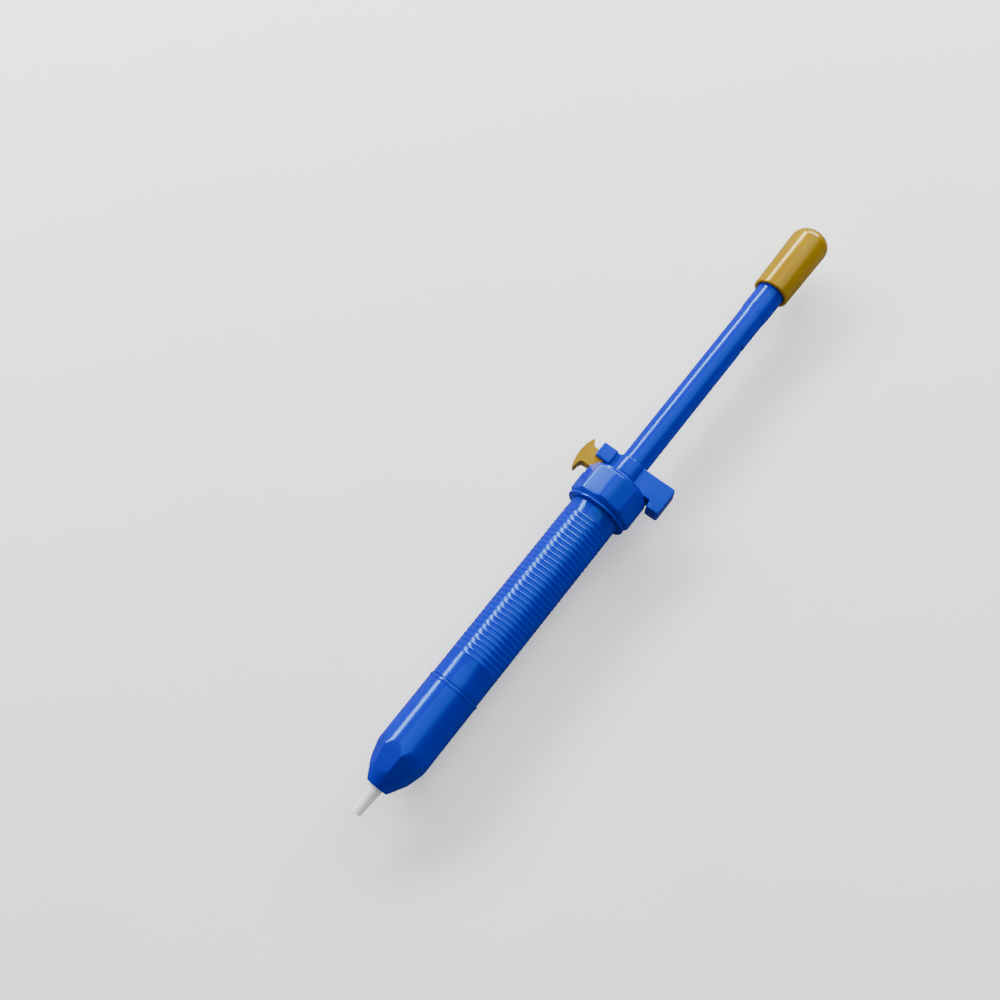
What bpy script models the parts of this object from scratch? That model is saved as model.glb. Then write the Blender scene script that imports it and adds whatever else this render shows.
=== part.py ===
"""Desoldering pump, modelled as an assembly of its separate pieces.

Frame: +X runs along the pump's axis from the nozzle to the thumb knob, +Z is up and the long
finger wing points to -Y. The origin is under the middle of the pump, on the surface it lies on.
Sizes below are in millimetres. Stations are distances along the axis from the nozzle's tip.
Everything is drawn about the pump's axis, and the empties that carry the pieces lift it off the
surface. The plunger is out, as it is after the pump has fired.
"""
import math

import bmesh
import bpy
from mathutils import Matrix, Vector

MM = 0.001
MERGE = 0.00001

# Whole pump
LENGTH = 363.4
GAP = 0.3
ROUND_STEPS = 32
SMALL_STEPS = 24

# Nozzle and nose
NOZZLE_TIP_R = 2.5
NOZZLE_ROOT_R = 3.4
NOZZLE_BORE_R = 1.5
NOZZLE_FLANGE_R = 6.2
NOSE_FRONT = 13.9
NOSE_FRONT_R = 5.5
NOSE_R = 12.9
NOSE_REAR = 68.3
CONE_REAR = 21.0
CONE_REAR_R = 9.6
ROUND_REAR = 30.2
FLAT_SIDES = 8
FLAT_START_R = 9.3
FLAT_SLOPE = 0.28
FLAT_TURN = 10.0
NOSE_POCKET_FRONT = 24.0
SPRING_SHOULDER = 30.2
NOSE_CAVITY_R = 10.3
SKIRT_FRONT = 57.7
SKIRT_BORE_R = 11.5

# Barrel
BARREL_R = 12.7
BORE_R = 9.6
BARREL_FRONT = SKIRT_FRONT + GAP
BARREL_SHOULDER = NOSE_REAR + GAP
SPIGOT_R = 11.2
GROOVE_FRONT = 61.9
GROOVE_REAR = 64.3
GROOVE_R = 10.1
REAR_SPIGOT = 173.4
REAR_SPIGOT_R = 12.0
BARREL_REAR = 183.5

# Collar
RING_FRONT = REAR_SPIGOT + GAP
RING_REAR = 174.8
RING_R = 15.7
COLLAR_FRONT = RING_REAR + GAP
COLLAR_REAR = 191.3
COLLAR_R = 16.9
COLLAR_FRONT_R = 14.4
CHAMFER_LENGTH = 2.6
COLLAR_CORNERS = (10.0, 48.0, 80.0, 90.0, 129.0, 174.0)
COLLAR_SOCKET_REAR = BARREL_REAR + 0.7
POCKET_FRONT = 186.4
POCKET_R = 9.9
POCKET_SHIFT = 3.3

# Finger flange
FLANGE_FRONT = COLLAR_REAR + GAP
DISC_REAR = 193.2
DISC_R = 14.8
WING_FRONT = 193.0
FLANGE_REAR = 204.5
BOSS_R = 8.2
REACH = 24.4
WING_HALF_Z = 5.4
HOOK_FRONT = 189.5
HOOK_INNER = 17.5
HOOK_FILLET = 1.0
STUB_FRONT = 196.4
STUB_TOP = 17.0
STUB_FOOT = 8.8
WEB_HALF_Z = 3.4
SLOT_FLOOR = 8.6
SLOT_HALF_Z = 3.5
SLOT_REAR = 200.7

# Plunger
TUBE_R = 6.9
TUBE_HOLE_R = TUBE_R + 0.35
TUBE_BORE_R = 4.6
TUBE_FRONT = 166.3
FLARE_FRONT = 304.0
FLARE_REAR = 309.0
TUBE_END_R = 7.35
TUBE_REAR = 338.0
NOTCH = 285.0
NOTCH_LENGTH = 2.5
NOTCH_DEPTH = 1.2
KNOB_FRONT = 321.6
KNOB_FRONT_R = 9.5
KNOB_R = 10.15
KNOB_DOME_R = 7.1
KNOB_SOCKET_R = 7.65

# Piston
PISTON_FRONT = 157.4
PISTON_REAR = 166.0
PISTON_R = 9.25
PISTON_GROOVE_FRONT = 160.4
PISTON_GROOVE_REAR = 163.0
PISTON_GROOVE_R = 7.85
WASHER_FRONT = 155.9
ROD_R = 0.9
ROD_FRONT = 96.0
ROD_REAR = 169.5

# Main spring
SEAT_FRONT = SPRING_SHOULDER + GAP
SEAT_THICK = 1.0
SPRING_R = 7.6
SPRING_WIRE_R = 0.6
SPRING_ACTIVE_TURNS = 16
SPRING_POINTS_PER_TURN = 10

# Trigger
TRIGGER_HALF_Z = 3.2
STEM_FRONT = 190.5
STEM_REAR = 200.3
STEM_FOOT = 11.9
PAD_FRONT = 185.4
PAD_REAR = 203.5
PAD_END_Y = 22.5
PAD_UNDER_Y = 20.6
FOOT_FRONT = 187.0
FOOT_REAR = 191.0
FOOT_Y = 10.4
FOOT_TOP = 16.0
PLATE_FRONT = 188.4
PLATE_REAR = 189.9
PLATE_R = 9.6
PLATE_SHIFT = 3.0
BUTTON_SPRING_X = 196.0
BUTTON_SPRING_R = 1.2
BUTTON_WIRE_R = 0.2
BUTTON_HOLE_R = 1.8
BUTTON_HOLE_TOP = 18.0
BUTTON_SPRING_TURNS = 6
BUTTON_POINTS_PER_TURN = 8

# Colours, as they look on screen
BLUE = (0.10, 0.33, 0.80)
AMBER = (0.80, 0.60, 0.13)
PTFE_WHITE = (0.92, 0.93, 0.91)
RUBBER_BLACK = (0.05, 0.05, 0.055)
STEEL = (0.72, 0.73, 0.75)
ACETAL = (0.86, 0.86, 0.83)


def clear_scene():
    for obj in list(bpy.data.objects):
        bpy.data.objects.remove(obj, do_unlink=True)
    for coll in list(bpy.data.collections):
        bpy.data.collections.remove(coll)


def new_collection(name):
    coll = bpy.data.collections.new(name)
    bpy.context.scene.collection.children.link(coll)
    return coll


def material(name, shade, roughness, metallic=0.0):
    """A Principled material, from a colour as it looks on screen."""
    mat = bpy.data.materials.new(name)
    mat.use_nodes = True
    shader = mat.node_tree.nodes["Principled BSDF"]
    linear = [c / 12.92 if c <= 0.04045 else ((c + 0.055) / 1.055) ** 2.4 for c in shade]
    shader.inputs["Base Color"].default_value = (*linear, 1.0)
    shader.inputs["Roughness"].default_value = roughness
    shader.inputs["Metallic"].default_value = metallic
    mat.diffuse_color = (*linear, 1.0)
    return mat


def axis_empty(name, station=LENGTH / 2):
    """An empty on the pump's axis, which carries the pieces of one body."""
    empty = bpy.data.objects.new(name, None)
    empty.location = ((station - LENGTH / 2) * MM, 0.0, COLLAR_R * MM)
    PUMP.objects.link(empty)
    return empty


def along(station):
    """Distance along the axis from the middle of the pump, in metres."""
    return (station - LENGTH / 2) * MM


def finish_part(obj, mat, parent):
    obj.data.materials.append(mat)
    obj.parent = parent
    PUMP.objects.link(obj)
    return obj


def as_cutter(obj, parent):
    obj.hide_render = True
    obj.display_type = "WIRE"
    obj.parent = parent
    CUTTERS.objects.link(obj)
    return obj


def turned(name, outer, bore=(), steps=ROUND_STEPS, smooth=True):
    """A profile of (station, radius) points turned about the pump's axis.

    outer and bore both run from the nozzle end to the knob end. Without a bore the piece is solid.
    """
    if bore:
        points = list(reversed(outer)) + list(bore)
    else:
        points = [(outer[-1][0], 0.0)] + list(reversed(outer)) + [(outer[0][0], 0.0)]
    mesh = bpy.data.meshes.new(name)
    bm = bmesh.new()
    verts = [bm.verts.new((radius * MM, 0.0, along(station))) for station, radius in points]
    for first, second in zip(verts, verts[1:]):
        bm.edges.new((first, second))
    if points[0][1] > 0.0 and points[-1][1] > 0.0:
        bm.edges.new((verts[-1], verts[0]))
    bm.to_mesh(mesh)
    bm.free()
    obj = bpy.data.objects.new(name, mesh)
    obj.rotation_euler = (0.0, math.radians(90.0), 0.0)
    screw = obj.modifiers.new("Turn", "SCREW")
    screw.axis = "Z"
    screw.angle = math.radians(360.0)
    screw.steps = steps
    screw.render_steps = steps
    screw.use_merge_vertices = True
    screw.merge_threshold = MERGE
    screw.use_smooth_shade = smooth
    return obj


def outline_plate(name, points, low, high, facing):
    """A flat outline given in millimetres, thickened from low to high.

    facing "Z": the points are (station, y) and the thickness runs along Z.
    facing "X": the points are (y, z) and the thickness runs from one station to another.
    """
    curve = bpy.data.curves.new(name + "_outline", "CURVE")
    curve.dimensions = "2D"
    curve.fill_mode = "BOTH"
    curve.extrude = (high - low) / 2 * MM
    spline = curve.splines.new("POLY")
    spline.points.add(len(points) - 1)
    for point, (u, v) in zip(spline.points, points):
        along_u = along(u) if facing == "Z" else u * MM
        point.co = (along_u, v * MM, 0.0, 1.0)
    spline.use_cyclic_u = True
    flat = bpy.data.objects.new(name + "_flat", curve)
    CUTTERS.objects.link(flat)
    middle = (high + low) / 2
    if facing == "X":
        turn = Matrix(((0, 0, 1, 0), (1, 0, 0, 0), (0, 1, 0, 0), (0, 0, 0, 1)))
        flat.matrix_world = Matrix.Translation((along(middle), 0.0, 0.0)) @ turn
    else:
        flat.matrix_world = Matrix.Translation((0.0, 0.0, middle * MM))
    return solid_from(name, flat)


def solid_from(name, source):
    """The evaluated form of an object as a mesh of its own, with its caps welded on."""
    bpy.context.view_layer.update()
    evaluated = source.evaluated_get(bpy.context.evaluated_depsgraph_get())
    mesh = bpy.data.meshes.new_from_object(evaluated)
    mesh.name = name
    bm = bmesh.new()
    bm.from_mesh(mesh)
    bmesh.ops.remove_doubles(bm, verts=bm.verts, dist=MERGE)
    bmesh.ops.recalc_face_normals(bm, faces=bm.faces)
    bm.to_mesh(mesh)
    bm.free()
    place = source.matrix_world.copy()
    bpy.data.objects.remove(source, do_unlink=True)
    mesh.transform(place)
    return bpy.data.objects.new(name, mesh)


def box(name, low, high):
    """A block between two corners of (station, y, z)."""
    mesh = bpy.data.meshes.new(name)
    bm = bmesh.new()
    bmesh.ops.create_cube(bm, size=1.0)
    size = [(b - a) * MM for a, b in zip(low, high)]
    middle = [(a + b) / 2 for a, b in zip(low, high)]
    centre = Vector((along(middle[0]), middle[1] * MM, middle[2] * MM))
    bmesh.ops.scale(bm, vec=size, verts=bm.verts)
    bmesh.ops.translate(bm, vec=centre, verts=bm.verts)
    bm.to_mesh(mesh)
    bm.free()
    return bpy.data.objects.new(name, mesh)


def ring_torus(name, station, major, minor, steps=SMALL_STEPS, around=8):
    """A round-section ring about the pump's axis."""
    bpy.ops.mesh.primitive_torus_add(
        major_radius=major * MM, minor_radius=minor * MM, major_segments=steps, minor_segments=around,
        location=(along(station), 0.0, 0.0), rotation=(0.0, math.radians(90.0), 0.0))
    obj = bpy.context.active_object
    obj.name = name
    obj.data.name = name
    for coll in list(obj.users_collection):
        coll.objects.unlink(obj)
    obj.data.shade_smooth()
    return obj


def wire_coil(name, points, wire_r):
    """A round wire along points in metres, with closed ends."""
    curve = bpy.data.curves.new(name, "CURVE")
    curve.dimensions = "3D"
    curve.bevel_depth = wire_r * MM
    curve.bevel_resolution = 2
    curve.use_fill_caps = True
    spline = curve.splines.new("POLY")
    spline.points.add(len(points) - 1)
    for point, place in zip(spline.points, points):
        point.co = (*place, 1.0)
    return bpy.data.objects.new(name, curve)


def arc(centre, radius, start, end, count):
    """Points along an arc, angles in degrees."""
    angles = [math.radians(start + (end - start) * i / count) for i in range(count + 1)]
    return [(centre[0] + radius * math.cos(a), centre[1] + radius * math.sin(a)) for a in angles]


def stadium(radius, low, high, count=12):
    """A rounded slot outline in (y, z), between centres at y = low and y = high."""
    return arc((high, 0.0), radius, -90, 90, count) + arc((low, 0.0), radius, 90, 270, count)


def boolean(obj, tool, operation):
    mod = obj.modifiers.new(tool.name, "BOOLEAN")
    mod.operation = operation
    mod.solver = "EXACT"
    mod.object = tool


def bevelled(obj, width, segments=2):
    mod = obj.modifiers.new("Edges", "BEVEL")
    mod.width = width * MM
    mod.segments = segments
    mod.limit_method = "ANGLE"
    mod.angle_limit = math.radians(40.0)
    return obj


# Nose: the pieces that twist off together

def make_nozzle(parent):
    """Heat-resistant tip, held in the nose by the flange at its root."""
    outer = [(0.0, NOZZLE_TIP_R - 0.25), (0.3, NOZZLE_TIP_R), (NOSE_FRONT - GAP, NOZZLE_ROOT_R),
             (NOSE_POCKET_FRONT + GAP, NOZZLE_ROOT_R + 0.1), (NOSE_POCKET_FRONT + GAP, NOZZLE_FLANGE_R),
             (27.2, NOZZLE_FLANGE_R)]
    bore = [(0.0, NOZZLE_BORE_R), (27.2, NOZZLE_BORE_R)]
    nozzle = turned("nozzle", outer, bore, SMALL_STEPS)
    finish_part(nozzle, material("nozzle_ptfe", PTFE_WHITE, 0.55), parent)


def make_nozzle_seal(parent):
    seal = turned("nozzle_seal", [(27.5, 6.2), (29.9, 6.2)], [(27.5, 2.0), (29.9, 2.0)], SMALL_STEPS)
    finish_part(seal, material("nozzle_seal_rubber", RUBBER_BLACK, 0.7), parent)


def nose_flats():
    """Eight-sided taper that leaves the flats on the nose, which run out where it reaches full size."""
    ends = (NOSE_FRONT - 1.0, NOSE_REAR + 1.0)
    corner = 1 / math.cos(math.pi / FLAT_SIDES)
    profile = [(x, (FLAT_START_R + FLAT_SLOPE * (x - CONE_REAR)) * corner) for x in ends]
    taper = turned("nose_flats", profile, steps=FLAT_SIDES, smooth=False)
    taper.data.transform(Matrix.Rotation(math.radians(FLAT_TURN), 4, "Z"))
    return taper


def make_nose_cone(parent):
    """Bullet-shaped cap with a bore for the nozzle, a spring cavity and a skirt over the barrel."""
    count = 5
    outer = [(NOSE_FRONT, NOSE_FRONT_R - 0.3), (NOSE_FRONT + 0.3, NOSE_FRONT_R)]
    for i in range(count + 1):
        station = CONE_REAR + (ROUND_REAR - CONE_REAR) * i / count
        outer.append((station, CONE_REAR_R + (NOSE_R - CONE_REAR_R) * math.sin(i / count * math.pi / 2)))
    outer += [(66.9, NOSE_R), (67.2, NOSE_R + 0.2), (68.0, NOSE_R + 0.2), (NOSE_REAR, NOSE_R - 0.1)]
    hole_r = NOZZLE_ROOT_R + 0.5
    pocket_r = NOZZLE_FLANGE_R + 0.4
    bore = [(NOSE_FRONT, hole_r), (NOSE_POCKET_FRONT, hole_r), (NOSE_POCKET_FRONT, pocket_r),
            (SPRING_SHOULDER, pocket_r), (SPRING_SHOULDER, NOSE_CAVITY_R), (SKIRT_FRONT, NOSE_CAVITY_R),
            (SKIRT_FRONT, SKIRT_BORE_R), (NOSE_REAR, SKIRT_BORE_R)]
    nose = turned("nose_cone", outer, bore)
    finish_part(nose, material("nose_cone_blue", BLUE, 0.22), parent)
    boolean(nose, as_cutter(nose_flats(), parent), "INTERSECT")


# Body: barrel, collar, flange and what they hold

def make_barrel(parent):
    """Plain tube with a grooved front spigot for the nose and a rear spigot for the collar."""
    outer = [(BARREL_FRONT, SPIGOT_R - 0.4), (BARREL_FRONT + 0.4, SPIGOT_R), (GROOVE_FRONT, SPIGOT_R),
             (GROOVE_FRONT, GROOVE_R), (GROOVE_REAR, GROOVE_R), (GROOVE_REAR, SPIGOT_R),
             (BARREL_SHOULDER, SPIGOT_R), (BARREL_SHOULDER, BARREL_R - 0.2),
             (BARREL_SHOULDER + 0.2, BARREL_R), (REAR_SPIGOT, BARREL_R), (REAR_SPIGOT, REAR_SPIGOT_R),
             (BARREL_REAR - 0.4, REAR_SPIGOT_R), (BARREL_REAR, REAR_SPIGOT_R - 0.4)]
    bore = [(BARREL_FRONT, BORE_R), (BARREL_REAR, BORE_R)]
    barrel = turned("barrel", outer, bore)
    finish_part(barrel, material("barrel_blue", BLUE, 0.22), parent)


def make_nose_o_ring(parent):
    ring = ring_torus("nose_o_ring", (GROOVE_FRONT + GROOVE_REAR) / 2, 10.82, 0.42, ROUND_STEPS)
    finish_part(ring, material("nose_o_ring_rubber", RUBBER_BLACK, 0.6), parent)


def make_lock_ring(parent):
    """Thin ring that the collar traps against the barrel's shoulder."""
    inner_r = REAR_SPIGOT_R + GAP
    outer = [(RING_FRONT, RING_R - 0.5), (RING_FRONT + 0.4, RING_R), (RING_REAR - 0.3, RING_R),
             (RING_REAR, RING_R - 0.3)]
    ring = turned("lock_ring", outer, [(RING_FRONT, inner_r), (RING_REAR, inner_r)])
    finish_part(ring, material("lock_ring_blue", BLUE, 0.25), parent)


def collar_section():
    """The collar's flats in (y, z): corners on one circle, at angles from the wing on each side of it."""
    angles = [-a for a in reversed(COLLAR_CORNERS)] + list(COLLAR_CORNERS)
    return [(-COLLAR_R * math.cos(math.radians(a)), COLLAR_R * math.sin(math.radians(a))) for a in angles]


def make_rear_collar(parent):
    """Many-sided cap over the barrel's rear end, with the pocket that the latch plate slides in."""
    collar = outline_plate("rear_collar", collar_section(), COLLAR_FRONT, COLLAR_REAR, "X")
    finish_part(collar, material("rear_collar_blue", BLUE, 0.2), parent)
    past = 2.0
    clear_r = COLLAR_R + 0.3
    rise = (clear_r - COLLAR_FRONT_R) / CHAMFER_LENGTH
    chamfers = [(COLLAR_FRONT - past, COLLAR_FRONT_R - past * rise), (COLLAR_FRONT + CHAMFER_LENGTH, clear_r),
                (COLLAR_REAR - 0.8, clear_r), (COLLAR_REAR + past, clear_r - 0.8 - past)]
    boolean(collar, as_cutter(turned("collar_chamfers", chamfers), parent), "INTERSECT")
    socket_r = REAR_SPIGOT_R + GAP
    socket = turned("collar_socket", [(COLLAR_FRONT - past, socket_r), (COLLAR_SOCKET_REAR, socket_r)])
    hole = turned("collar_hole", [(COLLAR_SOCKET_REAR - 1.0, TUBE_HOLE_R), (POCKET_FRONT + 1.0, TUBE_HOLE_R)])
    pocket = outline_plate("collar_pocket", stadium(POCKET_R, -POCKET_SHIFT, POCKET_SHIFT),
                           POCKET_FRONT, COLLAR_REAR + past, "X")
    channel = box("collar_channel", (POCKET_FRONT, 5.0, -SLOT_HALF_Z),
                  (COLLAR_REAR + past + 1.0, COLLAR_R + past, SLOT_HALF_Z))
    for cutter in (socket, hole, pocket, channel):
        boolean(collar, as_cutter(cutter, parent), "DIFFERENCE")


def wing_outline():
    """The long wing from the boss to its forward-hooked tip, in (station, y)."""
    corner_r = 1.2
    front = arc((WING_FRONT - HOOK_FILLET, HOOK_FILLET - HOOK_INNER), HOOK_FILLET, 0, -90, 4)
    tip_front = arc((HOOK_FRONT + corner_r, -REACH + corner_r), corner_r, 180, 270, 3)
    tip_rear = arc((FLANGE_REAR - corner_r, -REACH + corner_r), corner_r, 270, 360, 3)
    return ([(WING_FRONT, -5.5)] + front + [(HOOK_FRONT, -HOOK_INNER)] + tip_front + tip_rear
            + [(FLANGE_REAR, -5.5)])


def make_finger_flange(parent):
    """Cover disc, boss, hooked wing and short trigger guide in one moulding."""
    outer = [(FLANGE_FRONT, DISC_R), (DISC_REAR, DISC_R), (DISC_REAR, BOSS_R), (FLANGE_REAR - 0.4, BOSS_R),
             (FLANGE_REAR, BOSS_R - 0.4)]
    flange = turned("finger_flange", outer, smooth=False)
    finish_part(flange, material("finger_flange_blue", BLUE, 0.22), parent)
    wing = outline_plate("flange_wing", wing_outline(), -WING_HALF_Z, WING_HALF_Z, "Z")
    stub = box("flange_stub", (STUB_FRONT, STUB_FOOT, -WING_HALF_Z), (FLANGE_REAR, STUB_TOP, WING_HALF_Z))
    web = box("flange_web", (DISC_REAR - 0.5, 5.5, -WEB_HALF_Z),
              (FLANGE_REAR - 0.3, STUB_FOOT + 0.5, WEB_HALF_Z))
    hole = turned("flange_hole", [(FLANGE_FRONT - 1.0, TUBE_HOLE_R), (FLANGE_REAR + 1.0, TUBE_HOLE_R)])
    slot = box("flange_slot", (FLANGE_FRONT - 1.0, SLOT_FLOOR, -SLOT_HALF_Z),
               (SLOT_REAR, STUB_TOP + 1.0, SLOT_HALF_Z))
    for piece in (bevelled(wing, 0.9), bevelled(stub, 0.8), web):
        boolean(flange, as_cutter(piece, parent), "UNION")
    for cutter in (hole, slot):
        boolean(flange, as_cutter(cutter, parent), "DIFFERENCE")


def make_barrel_rings(parent):
    """The stack inside the barrel's rear end: bumper, wiper and the bush that guides the plunger."""
    stack = (("bumper_ring", TUBE_FRONT, 169.3, RUBBER_BLACK, 0.7),
             ("shaft_wiper", 169.6, 172.0, RUBBER_BLACK, 0.85),
             ("guide_bush", 172.3, 183.2, ACETAL, 0.45))
    for name, front, rear, shade, roughness in stack:
        ring = turned(name, [(front, 9.25), (rear, 9.25)], [(front, TUBE_HOLE_R), (rear, TUBE_HOLE_R)],
                      SMALL_STEPS)
        finish_part(ring, material(name + "_material", shade, roughness), parent)


def make_main_spring(parent):
    """Compression spring from the seat in the nose to the piston's washer, one dead turn at each end."""
    front = SEAT_FRONT + SEAT_THICK + GAP + SPRING_WIRE_R
    rear = WASHER_FRONT - GAP - SPRING_WIRE_R
    dead_pitch = 2 * SPRING_WIRE_R + 0.15
    active_pitch = (rear - front - 2 * dead_pitch) / SPRING_ACTIVE_TURNS
    turns = SPRING_ACTIVE_TURNS + 2
    points = []
    for i in range(turns * SPRING_POINTS_PER_TURN + 1):
        turn = i / SPRING_POINTS_PER_TURN
        active = min(max(turn - 1.0, 0.0), SPRING_ACTIVE_TURNS)
        station = front + dead_pitch * (turn - active) + active_pitch * active
        angle = 2 * math.pi * turn
        points.append((along(station), SPRING_R * MM * math.cos(angle), SPRING_R * MM * math.sin(angle)))
    coil = wire_coil("main_spring", points, SPRING_WIRE_R)
    finish_part(coil, material("main_spring_steel", STEEL, 0.3, 1.0), parent)


def make_spring_seat(parent):
    rear = SEAT_FRONT + SEAT_THICK
    seat = turned("spring_seat", [(SEAT_FRONT, 9.9), (rear, 9.9)], [(SEAT_FRONT, 2.2), (rear, 2.2)],
                  SMALL_STEPS)
    finish_part(seat, material("spring_seat_steel", STEEL, 0.3, 1.0), parent)


# Plunger

def make_plunger_tube(parent):
    """Tube that flares near the knob, with the latch notch cut in its -Y side."""
    outer = [(TUBE_FRONT, TUBE_R), (FLARE_FRONT, TUBE_R), (FLARE_REAR, TUBE_END_R), (TUBE_REAR, TUBE_END_R)]
    bore = [(TUBE_FRONT, TUBE_BORE_R), (TUBE_REAR, TUBE_BORE_R)]
    tube = turned("plunger_tube", outer, bore)
    finish_part(tube, material("plunger_tube_blue", BLUE, 0.25), parent)
    notch = box("latch_notch", (NOTCH, -TUBE_R - 2.0, -TUBE_R),
                (NOTCH + NOTCH_LENGTH, -TUBE_R + NOTCH_DEPTH, TUBE_R))
    boolean(tube, as_cutter(notch, parent), "DIFFERENCE")


def make_plunger_knob(parent):
    """Thumb knob that widens a little towards its rounded end, with a socket for the tube."""
    dome = [(y, x) for x, y in arc((KNOB_R - KNOB_DOME_R, LENGTH - KNOB_DOME_R), KNOB_DOME_R, 0, 90, 8)]
    outer = [(KNOB_FRONT, KNOB_FRONT_R - 0.6), (KNOB_FRONT + 0.6, KNOB_FRONT_R)] + dome + [(LENGTH, 0.0)]
    socket_rear = TUBE_REAR + GAP
    bore = [(KNOB_FRONT, KNOB_SOCKET_R), (socket_rear, KNOB_SOCKET_R), (socket_rear, 0.0)]
    knob = turned("plunger_knob", outer, bore)
    finish_part(knob, material("plunger_knob_amber", AMBER, 0.2), parent)


def make_tube_plug(parent):
    """Plug that closes the tube's rear end inside the knob."""
    plug = turned("tube_plug", [(328.0, TUBE_BORE_R - 0.7), (328.4, TUBE_BORE_R - 0.3),
                                (TUBE_REAR - 0.2, TUBE_BORE_R - 0.3)], steps=SMALL_STEPS)
    finish_part(plug, material("tube_plug_acetal", ACETAL, 0.45), parent)


def make_piston(parent):
    """Piston head with its seal groove, a spigot for the tube and a socket for the cleaning rod."""
    spigot_r = TUBE_BORE_R - GAP
    rod_hole_r = ROD_R + 0.35
    outer = [(PISTON_FRONT, PISTON_R - 0.4), (PISTON_FRONT + 0.4, PISTON_R), (PISTON_GROOVE_FRONT, PISTON_R),
             (PISTON_GROOVE_FRONT, PISTON_GROOVE_R), (PISTON_GROOVE_REAR, PISTON_GROOVE_R),
             (PISTON_GROOVE_REAR, PISTON_R), (PISTON_REAR, PISTON_R), (PISTON_REAR, spigot_r),
             (176.0, spigot_r), (176.0, 0.0)]
    bore = [(PISTON_FRONT, rod_hole_r), (ROD_REAR + GAP, rod_hole_r), (ROD_REAR + GAP, 0.0)]
    head = turned("piston_head", outer, bore, SMALL_STEPS)
    finish_part(head, material("piston_head_acetal", ACETAL, 0.45), parent)

    ring = ring_torus("piston_o_ring", (PISTON_GROOVE_FRONT + PISTON_GROOVE_REAR) / 2, 8.72, 0.58)
    finish_part(ring, material("piston_o_ring_rubber", RUBBER_BLACK, 0.6), parent)

    washer_rear = PISTON_FRONT - GAP
    washer = turned("piston_washer", [(WASHER_FRONT, 8.6), (washer_rear, 8.6)],
                    [(WASHER_FRONT, rod_hole_r), (washer_rear, rod_hole_r)], SMALL_STEPS)
    finish_part(washer, material("piston_washer_steel", STEEL, 0.3, 1.0), parent)

    rod = turned("cleaning_rod", [(ROD_FRONT, 0.35), (ROD_FRONT + 1.5, ROD_R), (ROD_REAR, ROD_R)], steps=12)
    finish_part(rod, material("cleaning_rod_steel", STEEL, 0.25, 1.0), parent)


# Trigger

def trigger_outline():
    """Curved thumb pad on a stem, with a forked foot for the latch plate, in (station, y)."""
    middle = (PAD_FRONT + PAD_REAR) / 2
    half = (PAD_REAR - PAD_FRONT) / 2
    rise = REACH - PAD_END_Y
    crown_r = (half * half + rise * rise) / (2 * rise)
    sweep = math.degrees(math.asin(half / crown_r))
    crown = arc((middle, REACH - crown_r), crown_r, 90 - sweep, 90 + sweep, 8)
    rear_under = [(PAD_REAR - 0.5, 21.7), (PAD_REAR - 1.6, 21.3), (STEM_REAR + 0.4, PAD_UNDER_Y)]
    front_under = [(PAD_FRONT + 0.5, 21.7), (PAD_FRONT + 2.0, 21.5), (STEM_FRONT - 0.8, 21.1)]
    fork = [(FOOT_FRONT, FOOT_TOP), (FOOT_FRONT, FOOT_Y), (PLATE_FRONT - GAP, FOOT_Y),
            (PLATE_FRONT - GAP, 13.0), (PLATE_REAR + GAP, 13.0), (PLATE_REAR + GAP, FOOT_Y),
            (FOOT_REAR, FOOT_Y), (FOOT_REAR, STEM_FOOT)]
    return (crown + front_under + [(STEM_FRONT, 20.0), (STEM_FRONT, FOOT_TOP)] + fork
            + [(STEM_REAR, STEM_FOOT), (STEM_REAR, 19.6)] + list(reversed(rear_under)))


def make_trigger_button(parent):
    button = outline_plate("trigger_button", trigger_outline(), -TRIGGER_HALF_Z, TRIGGER_HALF_Z, "Z")
    finish_part(button, material("trigger_button_amber", AMBER, 0.2), parent)
    well = turned("button_spring_well", [(LENGTH / 2 + STEM_FOOT - 2.0, BUTTON_HOLE_R),
                                         (LENGTH / 2 + BUTTON_HOLE_TOP, BUTTON_HOLE_R)], steps=12)
    well.rotation_euler = (math.radians(-90.0), 0.0, 0.0)
    well.location = (along(BUTTON_SPRING_X), 0.0, 0.0)
    boolean(button, as_cutter(well, parent), "DIFFERENCE")


def make_latch_plate(parent):
    """Steel plate with a long hole, which slides across the plunger and drops into its notch."""
    plate = outline_plate("latch_plate", stadium(PLATE_R, 0.0, PLATE_SHIFT), PLATE_FRONT, PLATE_REAR, "X")
    finish_part(plate, material("latch_plate_steel", STEEL, 0.35, 1.0), parent)
    eye = outline_plate("latch_plate_eye", stadium(TUBE_HOLE_R, 0.0, PLATE_SHIFT),
                        PLATE_FRONT - 1.0, PLATE_REAR + 1.0, "X")
    boolean(plate, as_cutter(eye, parent), "DIFFERENCE")


def make_trigger_spring(parent):
    """Small compression spring between the flange's web and the button."""
    low = SLOT_FLOOR + GAP + BUTTON_WIRE_R
    high = BUTTON_HOLE_TOP - GAP - BUTTON_WIRE_R
    points = []
    steps = BUTTON_SPRING_TURNS * BUTTON_POINTS_PER_TURN
    for i in range(steps + 1):
        angle = 2 * math.pi * i / BUTTON_POINTS_PER_TURN
        x = along(BUTTON_SPRING_X) + BUTTON_SPRING_R * MM * math.cos(angle)
        z = BUTTON_SPRING_R * MM * math.sin(angle)
        points.append((x, (low + (high - low) * i / steps) * MM, z))
    coil = wire_coil("trigger_spring", points, BUTTON_WIRE_R)
    finish_part(coil, material("trigger_spring_steel", STEEL, 0.3, 1.0), parent)


clear_scene()
PUMP = new_collection("desoldering_pump")
CUTTERS = new_collection("cutters")

body_axis = axis_empty("body_axis")
make_barrel(body_axis)
make_nose_o_ring(body_axis)
make_lock_ring(body_axis)
make_rear_collar(body_axis)
make_finger_flange(body_axis)
make_barrel_rings(body_axis)
make_main_spring(body_axis)
make_spring_seat(body_axis)
make_trigger_spring(body_axis)

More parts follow.
